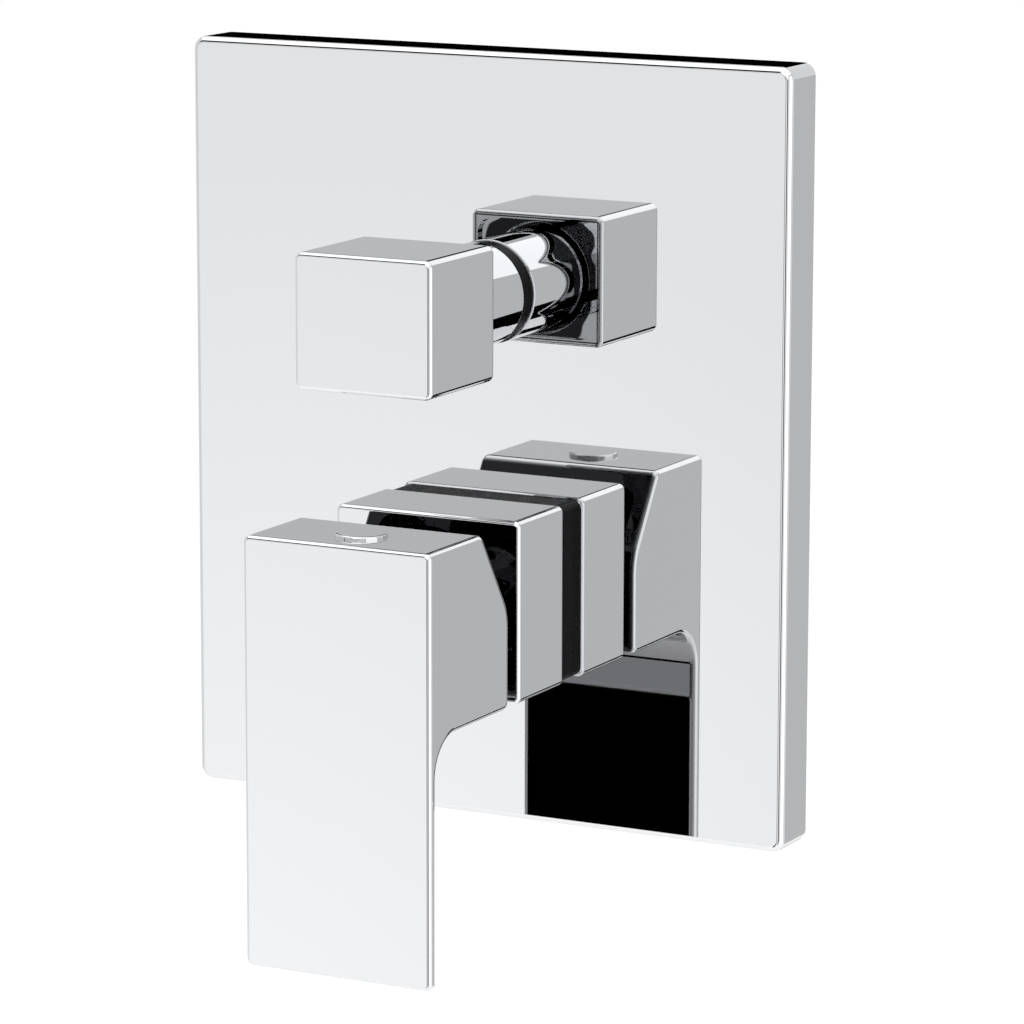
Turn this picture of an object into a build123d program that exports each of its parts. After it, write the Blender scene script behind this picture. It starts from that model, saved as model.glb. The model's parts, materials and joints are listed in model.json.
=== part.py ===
"""Concealed shower mixer: face plate, lever mixer and rotary diverter on one in-wall body.

Lengths are millimetres. X runs to the right, Y into the wall and Z up. The origin is the
centre of the face plate on the finished wall. A depth is a distance in front of that wall,
so depth d lies at Y = -d and a negative depth is inside the wall.
"""

import os
from math import radians, sin, tan

from build123d import *

os.makedirs("parts", exist_ok=True)

# Clearances
running_gap = 0.05
slide_gap = 0.1
loose_gap = 0.3

# Face plate
plate_width = 150.0
plate_height = 174.0
plate_depth = 12.5
plate_wall = 1.6
plate_corner_radius = 3.0
plate_inner_radius = 1.4
plate_edge_radius = 1.4
plate_seal_width = 5.0
plate_seal_thickness = 3.0

# Axes of the two valves
mixer_z = -33.0
diverter_z = 33.0

# Sleeve round the mixer's neck
sleeve_width = 46.0
sleeve_height = 41.0
sleeve_depth = 21.8
sleeve_wall = 2.0
sleeve_hub_length = 7.0
sleeve_side_radius = 1.6
sleeve_front_radius = 0.9
sleeve_rear_radius = 1.2
sleeve_mouth_diameter = 35.4
gasket_thickness = 4.4
gasket_corner_radius = 2.5
gasket_setback = 0.3

# Lever
lever_gap = 4.3
lever_depth = 36.5
lever_drop = 55.0
blade_thickness = 3.0
blade_root_radius = 9.0
relief_angle = 33.0
relief_start = 1.7
relief_round = 12.0
lever_top_round = 2.5
lever_heel_round = 2.0
lever_edge_radius = 0.9
lever_corner_radius = 1.5
lever_wall = 4.0
lever_pocket_depth = 18.0
lever_pocket_radius = 3.0
lever_boss_diameter = 18.0
lever_lift = 25.0

# Screw in the lever and the plug that covers it
grub_diameter = 5.0
grub_length = 6.0
grub_hex = 2.5
grub_hex_depth = 2.5
grub_setback = 11.5
plug_diameter = 11.5
plug_height = 0.8
plug_stem_diameter = 7.0
plug_stem_length = 3.5

# Mixing cartridge
cartridge_diameter = 25.0
cartridge_length = 28.0
cartridge_nose_diameter = 22.6
cartridge_nose_length = 4.0
pivot_setback = 18.0
pivot_cover = 5.0
base_thickness = 4.0
fixed_disc_diameter = 21.8
fixed_disc_thickness = 3.5
moving_disc_diameter = 17.0
moving_disc_thickness = 3.0
mixing_recess_length = 10.0
mixing_recess_width = 8.0
mixing_recess_depth = 1.5
carrier_thickness = 4.5
carrier_socket_diameter = 5.6
rotor_diameter = 20.0
rotor_nose_diameter = 17.6
rotor_nose_height = 1.0
rotor_slot_length = 14.0
shell_lip = 2.0
inlet_port = (5.0, -4.0)
outlet_port = (0.0, 6.0)
port_radius = 2.5
port_seal_radius = 3.8
port_seal_thickness = 1.5
spindle_size = 7.0
spindle_tail_diameter = 3.0
spindle_ball_diameter = 4.6
spindle_ball_inset = 1.3
spindle_shoulder = 5.0
pin_diameter = 3.0
pin_length = 17.0

# Neck of the body, nut and bonnet
neck_diameter = 31.0
nut_thread_diameter = 28.0
nut_front_rise = 1.0
nut_slot_width = 3.0
nut_slot_depth = 1.6
nut_slots = 6
o_ring_section = 1.8
o_ring_width = 2.2
o_ring_offsets = (1.2, 3.9)
bonnet_wall = 1.45
bonnet_opening = 24.0
bonnet_recess = 1.0
bonnet_ledge = 1.2

# In-wall body
body_rear = 39.0
pipe_setback = 24.0
spine_width = 26.0
spine_depth = 35.0
spine_corner = 6.0
mixer_barrel_diameter = 42.0
mixer_barrel_front = 4.0
arm_diameter = 23.0
collar_diameter = 29.0
collar_length = 18.0
collar_chamfer = 1.0
thread_minor_radius = 9.3
thread_length = 15.0
inlet_reach = 50.0
top_reach = 72.0
bottom_reach = 77.0
passage_radius = 4.5
inlet_web = 8.0
gallery_radius = 3.5
gallery_setback = 10.0
bypass_radius = 3.0
bypass_setback = 33.0
lug_spacing_x = 80.0
lug_spacing_z = 66.0
lug_centre_z = -29.0
lug_height = 13.0
lug_thickness = 5.0
lug_hole_radius = 2.75

# Diverter
diverter_seat = 17.0
diverter_bore = 22.0
diverter_barrel_diameter = 32.0
diverter_barrel_front = 8.0
diverter_seal_thickness = 2.0
diverter_port_offset = 5.0
diverter_port_radius = 2.8
diverter_disc_diameter = 19.0
diverter_fixed_thickness = 3.5
diverter_moving_thickness = 3.0
diverter_foot_diameter = 15.0
diverter_foot_thickness = 4.0
diverter_tongue_width = 4.0
diverter_tongue_length = 12.0
diverter_tongue_depth = 1.4
diverter_shaft_diameter = 9.0
diverter_window_width = 8.0
diverter_shoulder_depth = 2.0
diverter_nose_diameter = 16.0
diverter_nose_front = 22.0
diverter_nut_diameter = 25.0
diverter_square = 7.0
diverter_ring_depth = 9.0
diverter_ring_width = 2.2
diverter_ring_section = 1.2
circlip_thickness = 1.0
circlip_diameter = 13.0
circlip_groove = 1.0
circlip_opening = 3.5
neck_seal_thickness = 2.3
neck_seal_diameter = 23.0
collar_neck_diameter = 23.6
collar_neck_edge = 0.6
collar_neck_bore = 10.0
collar_neck_recess = 2.5

# Diverter knob
knob_width = 33.5
knob_height = 30.0
knob_depth = 29.0
knob_gap = 26.0
knob_edge_radius = 0.9
knob_corner_radius = 1.8
knob_rear_wall = 1.6
knob_pocket_radius = 4.0
knob_pocket_depth = 1.2
knob_counterbore_diameter = 25.0
knob_counterbore_depth = 6.0
knob_counterbore_rim = 0.4
knob_neck_entry = 4.5
knob_socket_depth = 14.0
knob_grub_setback = 8.0

# Depths worked out from the sizes above
plate_inside = plate_depth - plate_wall
sleeve_rear = plate_depth + gasket_thickness
sleeve_front = sleeve_rear + sleeve_depth
hub_front = sleeve_rear + sleeve_hub_length
lever_rear = sleeve_front + lever_gap
lever_front = lever_rear + lever_depth
pivot_depth = lever_rear - pivot_setback
cartridge_front = pivot_depth + pivot_cover
seat_depth = cartridge_front - cartridge_length
base_front = seat_depth + base_thickness
fixed_front = base_front + fixed_disc_thickness
moving_rear = fixed_front + running_gap
moving_front = moving_rear + moving_disc_thickness
carrier_front = moving_front + carrier_thickness
rotor_rear = carrier_front + running_gap
rotor_shoulder = cartridge_front - shell_lip - running_gap
shell_shoulder = cartridge_front - cartridge_nose_length
neck_front = cartridge_front
nut_front = cartridge_front + nut_front_rise
bonnet_front = sleeve_front - bonnet_recess
grub_depth = lever_front - grub_setback
spindle_front = grub_depth + grub_diameter
ball_depth = carrier_front - spindle_ball_inset
tail_length = pivot_depth - ball_depth
carrier_socket_depth = spindle_ball_inset + spindle_ball_diameter / 2 + loose_gap
disc_travel = tail_length * sin(radians(lever_lift))
disc_offset = disc_travel / 2
neck_seal_front = plate_depth + neck_seal_thickness
knob_rear = plate_depth + knob_gap
collar_neck_front = knob_rear + knob_neck_entry
knob_pocket_floor = knob_rear + knob_pocket_depth
knob_socket_floor = knob_rear + knob_counterbore_depth
knob_socket_end = knob_socket_floor + knob_socket_depth
knob_grub_depth = knob_socket_floor + knob_grub_setback
collar_neck_step = diverter_nose_front + collar_neck_recess
diverter_fixed_rear = -diverter_seat + diverter_seal_thickness
diverter_fixed_front = diverter_fixed_rear + diverter_fixed_thickness
diverter_moving_rear = diverter_fixed_front + running_gap
diverter_moving_front = diverter_moving_rear + diverter_moving_thickness
diverter_foot_rear = diverter_moving_front + running_gap
diverter_foot_front = diverter_foot_rear + diverter_foot_thickness

mixer_axis = Axis((0, 0, mixer_z), (0, -1, 0))
diverter_axis = Axis((0, 0, diverter_z), (0, -1, 0))


def facing(depth, axis_z=0.0):
    """Plane that faces the user at a depth: local x is right, local y is up."""
    return Plane(origin=(0, -depth, axis_z), x_dir=(1, 0, 0), z_dir=(0, -1, 0))


def section(axis_z):
    """Upright plane through a valve's axis: local x is depth, local y is height."""
    return Plane(origin=(0, 0, axis_z), x_dir=(0, -1, 0), z_dir=(-1, 0, 0))


def outline(axis_z, *points):
    """Closed profile in a valve's section, given as (depth, radius) points."""
    with BuildSketch(section(axis_z)) as profile:
        with BuildLine():
            Polyline(*points, close=True)
        make_face()
    return profile.sketch


def ring(axis_z, rear, front, inner, outer):
    """Profile of a plain ring between two depths and two radii."""
    return outline(axis_z, (rear, inner), (front, inner), (front, outer), (rear, outer))


def set_screw(depth, seat, rise):
    """Hexagon-socket screw with its tip at a height; rise is 1 upwards and -1 downwards."""
    with BuildPart() as screw:
        with BuildSketch(Plane(origin=(0, -depth, seat), z_dir=(0, 0, rise))):
            Circle(grub_diameter / 2)
        extrude(amount=grub_length)
        with BuildSketch(Plane(origin=(0, -depth, seat + rise * grub_length), z_dir=(0, 0, rise))):
            RegularPolygon(grub_hex / 2, 6, major_radius=False)
        extrude(amount=-grub_hex_depth, mode=Mode.SUBTRACT)
    return screw


def finish(piece, name):
    """Label a piece and write its STEP file."""
    piece.part.label = name
    export_step(piece.part, f"parts/{name}.step")


# Face plate: a pressed tray, open towards the wall
neck_radius = neck_diameter / 2
nose_radius = diverter_nose_diameter / 2
with BuildPart() as face_plate:
    with BuildSketch(facing(0)):
        RectangleRounded(plate_width, plate_height, plate_corner_radius)
    extrude(amount=plate_depth)
    front_edges = face_plate.faces().sort_by(Axis.Y)[0].edges()
    fillet(front_edges, radius=plate_edge_radius)
    with BuildSketch(facing(0)):
        RectangleRounded(plate_width - 2 * plate_wall, plate_height - 2 * plate_wall, plate_inner_radius)
    extrude(amount=plate_inside, mode=Mode.SUBTRACT)
    with BuildSketch(facing(0, mixer_z)):
        Circle(neck_radius + loose_gap)
    extrude(amount=plate_depth, mode=Mode.SUBTRACT)
    with BuildSketch(facing(0, diverter_z)):
        Circle(nose_radius + loose_gap)
    extrude(amount=plate_depth, mode=Mode.SUBTRACT)
finish(face_plate, "face_plate")

# Foam strip inside the plate's rim, pressed on the wall
seal_width = plate_width - 2 * plate_wall - 2 * slide_gap
seal_height = plate_height - 2 * plate_wall - 2 * slide_gap
with BuildPart() as plate_seal:
    with BuildSketch(facing(0)):
        RectangleRounded(seal_width, seal_height, plate_inner_radius)
        Rectangle(
            seal_width - 2 * plate_seal_width,
            seal_height - 2 * plate_seal_width,
            mode=Mode.SUBTRACT,
        )
    extrude(amount=plate_seal_thickness)
finish(plate_seal, "plate_seal")

# In-wall body: two barrels on an upright spine, with inlets at the sides and outlets at the ends
chamber_radius = cartridge_diameter / 2 + slide_gap
ring_bore = neck_radius - o_ring_section + loose_gap
pipe_y = pipe_setback
with BuildPart() as valve_body:
    with BuildSketch(Plane.XY.offset(-bottom_reach + collar_length)):
        with Locations((0, body_rear - spine_depth / 2)):
            RectangleRounded(spine_width, spine_depth, spine_corner)
    extrude(amount=top_reach + bottom_reach - 2 * collar_length)
    revolve(
        outline(
            mixer_z,
            (-body_rear, 0),
            (-body_rear, mixer_barrel_diameter / 2),
            (mixer_barrel_front, mixer_barrel_diameter / 2),
            (mixer_barrel_front, neck_radius),
            (neck_front, neck_radius),
            (neck_front, 0),
        ),
        axis=mixer_axis,
    )
    revolve(
        ring(diverter_z, -body_rear, diverter_barrel_front, 0, diverter_barrel_diameter / 2),
        axis=diverter_axis,
    )
    # Side arms with a collar at each inlet
    with BuildSketch(Plane(origin=(-inlet_reach, pipe_y, mixer_z), z_dir=(1, 0, 0))):
        Circle(arm_diameter / 2)
    extrude(amount=2 * inlet_reach)
    for side in (-1, 1):
        with BuildSketch(Plane(origin=(side * inlet_reach, pipe_y, mixer_z), z_dir=(-side, 0, 0))):
            Circle(collar_diameter / 2)
        extrude(amount=collar_length)
        mouth_face = valve_body.faces().sort_by(Axis((0, 0, 0), (side, 0, 0)))[-1]
        chamfer(mouth_face.edges(), length=collar_chamfer)
    # Collars of the two outlets
    with BuildSketch(Plane(origin=(0, pipe_y, top_reach), z_dir=(0, 0, -1))):
        Circle(collar_diameter / 2)
    extrude(amount=collar_length)
    chamfer(valve_body.faces().sort_by(Axis.Z)[-1].edges(), length=collar_chamfer)
    with BuildSketch(Plane(origin=(0, pipe_y, -bottom_reach), z_dir=(0, 0, 1))):
        Circle(collar_diameter / 2)
    extrude(amount=collar_length)
    chamfer(valve_body.faces().sort_by(Axis.Z)[0].edges(), length=collar_chamfer)
    # Bars that end in the fixing lugs
    with BuildSketch(facing(-body_rear, lug_centre_z)):
        with GridLocations(0, lug_spacing_z, 1, 2):
            SlotCenterToCenter(lug_spacing_x, lug_height)
        with GridLocations(lug_spacing_x, lug_spacing_z, 2, 2):
            Circle(lug_hole_radius, mode=Mode.SUBTRACT)
    extrude(amount=lug_thickness)
    # Grooves for the sleeve's O-rings
    for offset in o_ring_offsets:
        groove_rear = sleeve_rear + offset
        revolve(
            ring(mixer_z, groove_rear, groove_rear + o_ring_width, ring_bore, neck_radius + loose_gap),
            axis=mixer_axis,
            mode=Mode.SUBTRACT,
        )
    # Mixer chamber with a wider mouth for the nut, and its ports
    revolve(
        outline(
            mixer_z,
            (seat_depth, 0),
            (seat_depth, chamber_radius),
            (shell_shoulder, chamber_radius),
            (shell_shoulder, nut_thread_diameter / 2),
            (neck_front, nut_thread_diameter / 2),
            (neck_front, 0),
        ),
        axis=mixer_axis,
        mode=Mode.SUBTRACT,
    )
    with BuildSketch(facing(-pipe_setback, mixer_z)):
        with Locations(inlet_port, (-inlet_port[0], inlet_port[1])):
            Circle(port_radius)
    extrude(amount=pipe_setback + seat_depth, mode=Mode.SUBTRACT)
    with BuildSketch(facing(-gallery_setback, mixer_z)):
        with Locations(outlet_port):
            Circle(port_radius)
    extrude(amount=gallery_setback + seat_depth, mode=Mode.SUBTRACT)
    with BuildSketch(Plane(origin=(0, gallery_setback, mixer_z + outlet_port[1]), z_dir=(0, 0, 1))):
        Circle(gallery_radius)
    extrude(amount=diverter_z - mixer_z - outlet_port[1], mode=Mode.SUBTRACT)
    # Diverter chamber and its two ports
    revolve(
        outline(
            diverter_z,
            (-diverter_seat, 0),
            (-diverter_seat, diverter_bore / 2),
            (diverter_shoulder_depth, diverter_bore / 2),
            (diverter_shoulder_depth, diverter_nut_diameter / 2 + running_gap),
            (diverter_barrel_front, diverter_nut_diameter / 2 + running_gap),
            (diverter_barrel_front, 0),
        ),
        axis=diverter_axis,
        mode=Mode.SUBTRACT,
    )
    with BuildSketch(facing(-pipe_setback, diverter_z)):
        with Locations((0, diverter_port_offset)):
            Circle(diverter_port_radius)
    extrude(amount=pipe_setback - diverter_seat, mode=Mode.SUBTRACT)
    with BuildSketch(facing(-bypass_setback, diverter_z)):
        with Locations((diverter_port_offset, 0)):
            Circle(diverter_port_radius)
    extrude(amount=bypass_setback - diverter_seat, mode=Mode.SUBTRACT)
    with BuildSketch(Plane(origin=(diverter_port_offset, bypass_setback, diverter_z), z_dir=(0, 0, -1))):
        Circle(bypass_radius)
    extrude(amount=diverter_z + bottom_reach - thread_length, mode=Mode.SUBTRACT)
    # Threaded mouths and the passages behind them
    for side in (-1, 1):
        mouth = Plane(origin=(side * inlet_reach, pipe_y, mixer_z), z_dir=(-side, 0, 0))
        with BuildSketch(mouth):
            Circle(thread_minor_radius)
        extrude(amount=thread_length, mode=Mode.SUBTRACT)
        with BuildSketch(mouth):
            Circle(passage_radius)
        extrude(amount=inlet_reach - inlet_web / 2, mode=Mode.SUBTRACT)
    top_mouth = Plane(origin=(0, pipe_y, top_reach), z_dir=(0, 0, -1))
    with BuildSketch(top_mouth):
        Circle(thread_minor_radius)
    extrude(amount=thread_length, mode=Mode.SUBTRACT)
    with BuildSketch(top_mouth):
        Circle(passage_radius)
    extrude(amount=top_reach - diverter_z - diverter_port_offset, mode=Mode.SUBTRACT)
    with BuildSketch(Plane(origin=(0, pipe_y, -bottom_reach), z_dir=(0, 0, 1))):
        Circle(thread_minor_radius)
    extrude(amount=thread_length, mode=Mode.SUBTRACT)
finish(valve_body, "valve_body")

# Cartridge base with three ports, each in a recess for its seal
port_places = [inlet_port, (-inlet_port[0], inlet_port[1]), outlet_port]
with BuildPart() as cartridge_base:
    with BuildSketch(facing(seat_depth, mixer_z)):
        Circle(cartridge_diameter / 2)
        with Locations(*port_places):
            Circle(port_radius, mode=Mode.SUBTRACT)
    extrude(amount=base_thickness)
    with BuildSketch(facing(seat_depth, mixer_z)):
        with Locations(*port_places):
            Circle(port_seal_radius + slide_gap)
    extrude(amount=port_seal_thickness, mode=Mode.SUBTRACT)
finish(cartridge_base, "cartridge_base")

with BuildPart() as port_seals:
    with BuildSketch(facing(seat_depth, mixer_z)):
        with Locations(*port_places):
            Circle(port_seal_radius)
            Circle(port_radius, mode=Mode.SUBTRACT)
    extrude(amount=port_seal_thickness)
finish(port_seals, "port_seals")

# Ceramic disc that stays still on the base
with BuildPart() as fixed_disc:
    with BuildSketch(facing(base_front, mixer_z)):
        Circle(fixed_disc_diameter / 2)
        with Locations(*port_places):
            Circle(port_radius, mode=Mode.SUBTRACT)
    extrude(amount=fixed_disc_thickness)
finish(fixed_disc, "fixed_disc")

# Ceramic disc that slides and turns, with the recess that mixes hot and cold
with BuildPart() as moving_disc:
    with BuildSketch(facing(moving_rear, mixer_z + disc_offset)):
        Circle(moving_disc_diameter / 2)
    extrude(amount=moving_disc_thickness)
    with BuildSketch(facing(moving_rear, mixer_z + disc_offset)):
        RectangleRounded(mixing_recess_length, mixing_recess_width, mixing_recess_width / 3)
    extrude(amount=mixing_recess_depth, mode=Mode.SUBTRACT)
finish(moving_disc, "moving_disc")

# Carrier on the moving disc, with the socket for the spindle's ball
with BuildPart() as disc_carrier:
    with BuildSketch(facing(moving_front, mixer_z + disc_offset)):
        Circle(moving_disc_diameter / 2)
    extrude(amount=carrier_thickness)
    with BuildSketch(facing(carrier_front, mixer_z)):
        Circle(carrier_socket_diameter / 2)
    extrude(amount=-carrier_socket_depth, mode=Mode.SUBTRACT)
finish(disc_carrier, "disc_carrier")

# Cartridge shell: wide round the discs, closer round the rotor, with a lip over the rotor
disc_room = fixed_disc_diameter / 2 + slide_gap
rotor_room = rotor_diameter / 2 + running_gap
lip_radius = rotor_nose_diameter / 2 + slide_gap
with BuildPart() as cartridge_shell:
    revolve(
        outline(
            mixer_z,
            (base_front, disc_room),
            (rotor_rear, disc_room),
            (rotor_rear, rotor_room),
            (cartridge_front - shell_lip, rotor_room),
            (cartridge_front - shell_lip, lip_radius),
            (cartridge_front, lip_radius),
            (cartridge_front, cartridge_nose_diameter / 2),
            (shell_shoulder, cartridge_nose_diameter / 2),
            (shell_shoulder, cartridge_diameter / 2),
            (base_front, cartridge_diameter / 2),
        ),
        axis=mixer_axis,
    )
finish(cartridge_shell, "cartridge_shell")

# Rotor that turns with the lever and carries the pivot pin
with BuildPart() as rotor:
    revolve(
        outline(
            mixer_z,
            (rotor_rear, 0),
            (rotor_rear, rotor_diameter / 2),
            (rotor_shoulder, rotor_diameter / 2),
            (rotor_shoulder, rotor_nose_diameter / 2),
            (cartridge_front + rotor_nose_height, rotor_nose_diameter / 2),
            (cartridge_front + rotor_nose_height, 0),
        ),
        axis=mixer_axis,
    )
    with BuildSketch(facing(rotor_rear, mixer_z)):
        Rectangle(spindle_size + 2 * slide_gap, rotor_slot_length)
    extrude(amount=cartridge_front + rotor_nose_height - rotor_rear, mode=Mode.SUBTRACT)
    with BuildSketch(Plane(origin=(0, -pivot_depth, mixer_z), z_dir=(1, 0, 0))):
        Circle(pin_diameter / 2)
    extrude(amount=rotor_diameter / 2, both=True, mode=Mode.SUBTRACT)
finish(rotor, "rotor")

with BuildPart() as spindle_pin:
    with BuildSketch(Plane(origin=(0, -pivot_depth, mixer_z), z_dir=(1, 0, 0))):
        Circle(pin_diameter / 2)
    extrude(amount=pin_length / 2, both=True)
finish(spindle_pin, "spindle_pin")

# Spindle: square shank into the lever, pin hole, and a ball on its tail
with BuildPart() as spindle:
    with BuildSketch(facing(pivot_depth - spindle_shoulder, mixer_z)):
        Rectangle(spindle_size, spindle_size)
    extrude(amount=spindle_front - pivot_depth + spindle_shoulder)
    front_face = spindle.faces().sort_by(Axis.Y)[0]
    chamfer(front_face.edges(), length=spindle_size / 10)
    with BuildSketch(facing(ball_depth, mixer_z)):
        Circle(spindle_tail_diameter / 2)
    extrude(amount=tail_length - spindle_shoulder)
    with Locations((0, -ball_depth, mixer_z)):
        Sphere(spindle_ball_diameter / 2)
    with BuildSketch(Plane(origin=(0, -pivot_depth, mixer_z), z_dir=(1, 0, 0))):
        Circle(pin_diameter / 2 + running_gap)
    extrude(amount=spindle_size / 2, both=True, mode=Mode.SUBTRACT)
finish(spindle, "spindle")

# Slotted nut that holds the cartridge down
nut_radius = nut_thread_diameter / 2 - running_gap
with BuildPart() as cartridge_nut:
    revolve(
        ring(mixer_z, shell_shoulder, nut_front, cartridge_nose_diameter / 2 + slide_gap, nut_radius),
        axis=mixer_axis,
    )
    with BuildSketch(facing(nut_front, mixer_z)):
        with PolarLocations(nut_radius, nut_slots):
            Rectangle(nut_radius / 2, nut_slot_width)
    extrude(amount=-nut_slot_depth, mode=Mode.SUBTRACT)
finish(cartridge_nut, "cartridge_nut")

# Domed bonnet, screwed on the neck against the sleeve's hub
bonnet_inner = neck_radius + running_gap
bonnet_outer = bonnet_inner + bonnet_wall
ledge_front = neck_front + bonnet_ledge
with BuildPart() as bonnet:
    with BuildSketch(section(mixer_z)):
        with BuildLine():
            Polyline(
                (bonnet_front, bonnet_opening / 2),
                (ledge_front, nut_radius + running_gap),
                (neck_front, nut_radius + running_gap),
                (neck_front, bonnet_inner),
                (hub_front, bonnet_inner),
                (hub_front, bonnet_outer),
                (ledge_front, bonnet_outer),
            )
            TangentArc(
                (ledge_front, bonnet_outer),
                (bonnet_front, bonnet_opening / 2 + bonnet_wall),
                tangent=(1, 0),
            )
            Line((bonnet_front, bonnet_opening / 2 + bonnet_wall), (bonnet_front, bonnet_opening / 2))
        make_face()
    revolve(axis=mixer_axis)
finish(bonnet, "bonnet")

# O-rings between the neck and the sleeve's hub, as they lie when squeezed
hub_radius = neck_radius + slide_gap
with BuildPart() as sleeve_o_rings:
    for offset in o_ring_offsets:
        with BuildSketch(section(mixer_z)):
            with Locations((sleeve_rear + offset + o_ring_width / 2, (ring_bore + hub_radius) / 2)):
                RectangleRounded(
                    o_ring_width - 2 * slide_gap,
                    hub_radius - ring_bore - 2 * running_gap,
                    o_ring_section / 3,
                )
        revolve(axis=mixer_axis)
finish(sleeve_o_rings, "sleeve_o_rings")

# Square sleeve: hub at the rear, hollow in front, round mouth for the bonnet
with BuildPart() as sleeve:
    with BuildSketch(facing(sleeve_rear, mixer_z)):
        RectangleRounded(sleeve_width, sleeve_height, sleeve_side_radius)
    extrude(amount=sleeve_depth)
    fillet(sleeve.faces().sort_by(Axis.Y)[0].edges(), radius=sleeve_front_radius)
    fillet(sleeve.faces().sort_by(Axis.Y)[-1].edges(), radius=sleeve_rear_radius)
    with BuildSketch(facing(hub_front, mixer_z)):
        Rectangle(sleeve_width - 2 * sleeve_wall, sleeve_height - 2 * sleeve_wall)
    extrude(amount=sleeve_depth - sleeve_hub_length - sleeve_wall, mode=Mode.SUBTRACT)
    with BuildSketch(facing(hub_front, mixer_z)):
        Circle(sleeve_mouth_diameter / 2)
    extrude(amount=sleeve_depth - sleeve_hub_length, mode=Mode.SUBTRACT)
    with BuildSketch(facing(sleeve_rear, mixer_z)):
        Circle(hub_radius)
    extrude(amount=sleeve_hub_length, mode=Mode.SUBTRACT)
finish(sleeve, "sleeve")

# Rubber gasket between the sleeve and the plate
with BuildPart() as sleeve_gasket:
    with BuildSketch(facing(plate_depth, mixer_z)):
        RectangleRounded(
            sleeve_width - 2 * gasket_setback,
            sleeve_height - 2 * gasket_setback,
            gasket_corner_radius,
        )
        Circle(hub_radius, mode=Mode.SUBTRACT)
    extrude(amount=gasket_thickness)
finish(sleeve_gasket, "sleeve_gasket")

# Lever: block with a slanted back, and a thin blade that hangs below it
half_height = sleeve_height / 2
relief_top = lever_rear + (half_height - relief_start) * tan(radians(relief_angle))
blade_back = lever_front - blade_thickness
blade_end = -half_height - lever_drop
lever_corners = [
    ((relief_top, half_height), lever_top_round),
    ((lever_rear, relief_start), relief_round),
    ((lever_rear, -half_height), lever_heel_round),
    ((blade_back, -half_height), blade_root_radius),
]
socket_size = spindle_size + 2 * running_gap
grub_seat = mixer_z + spindle_size / 2
lever_top = mixer_z + half_height
with BuildPart() as lever:
    with BuildSketch(section(mixer_z)) as lever_profile:
        with BuildLine():
            Polyline(
                (lever_front, half_height),
                (relief_top, half_height),
                (lever_rear, relief_start),
                (lever_rear, -half_height),
                (blade_back, -half_height),
                (blade_back, blade_end),
                (lever_front, blade_end),
                close=True,
            )
        make_face()
        for place, radius in lever_corners:
            fillet(lever_profile.vertices().sort_by_distance(place)[0], radius=radius)
    extrude(amount=sleeve_width / 2, both=True)
    along = lever.edges().filter_by(Axis.Y)
    fillet(along.group_by(Axis.Z)[-1] + along.group_by(Axis.Z)[0], radius=lever_corner_radius)
    front_edges = lever.faces().sort_by(Axis.Y)[0].edges()
    fillet(front_edges, radius=lever_edge_radius)
    # Hollow cast from behind, with a boss left round the spindle's socket
    with BuildSketch(facing(lever_rear, mixer_z)):
        RectangleRounded(
            sleeve_width - 2 * lever_wall,
            sleeve_height - 2 * lever_wall,
            lever_pocket_radius,
        )
        Circle(lever_boss_diameter / 2, mode=Mode.SUBTRACT)
    extrude(amount=lever_pocket_depth, mode=Mode.SUBTRACT)
    with BuildSketch(facing(lever_rear, mixer_z)):
        Rectangle(socket_size, socket_size)
    extrude(amount=spindle_front + loose_gap - lever_rear, mode=Mode.SUBTRACT)
    # Screw hole from the top down to the spindle, wider where the plug sits
    with BuildSketch(Plane(origin=(0, -grub_depth, lever_top), z_dir=(0, 0, -1))):
        Circle(grub_diameter / 2 + running_gap)
    extrude(amount=lever_top - grub_seat, mode=Mode.SUBTRACT)
    with BuildSketch(Plane(origin=(0, -grub_depth, lever_top), z_dir=(0, 0, -1))):
        Circle(plug_stem_diameter / 2 + running_gap)
    extrude(amount=plug_stem_length, mode=Mode.SUBTRACT)
finish(lever, "lever")

# Screw that clamps the lever on the spindle
lever_screw = set_screw(grub_depth, grub_seat, 1)
finish(lever_screw, "lever_screw")

# Round plug over the screw, with a stem pressed into its hole
with BuildPart() as lever_plug:
    with BuildSketch(Plane.XY.offset(lever_top)):
        with Locations((0, -grub_depth)):
            Circle(plug_diameter / 2)
    extrude(amount=plug_height)
    fillet(lever_plug.faces().sort_by(Axis.Z)[-1].edges(), radius=plug_height / 2)
    with BuildSketch(Plane.XY.offset(lever_top)):
        with Locations((0, -grub_depth)):
            Circle(plug_stem_diameter / 2)
    extrude(amount=-plug_stem_length + slide_gap)
finish(lever_plug, "lever_plug")

# Diverter seal and fixed ceramic disc, each with one port up and one to the right
diverter_ports = [(0, diverter_port_offset), (diverter_port_offset, 0)]
with BuildPart() as diverter_seal:
    with BuildSketch(facing(-diverter_seat, diverter_z)):
        Circle(diverter_bore / 2 - slide_gap)
        with Locations(*diverter_ports):
            Circle(diverter_port_radius, mode=Mode.SUBTRACT)
    extrude(amount=diverter_seal_thickness)
finish(diverter_seal, "diverter_seal")

with BuildPart() as diverter_fixed_disc:
    with BuildSketch(facing(diverter_fixed_rear, diverter_z)):
        Circle(diverter_disc_diameter / 2)
        with Locations(*diverter_ports):
            Circle(diverter_port_radius, mode=Mode.SUBTRACT)
    extrude(amount=diverter_fixed_thickness)
finish(diverter_fixed_disc, "diverter_fixed_disc")

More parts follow.
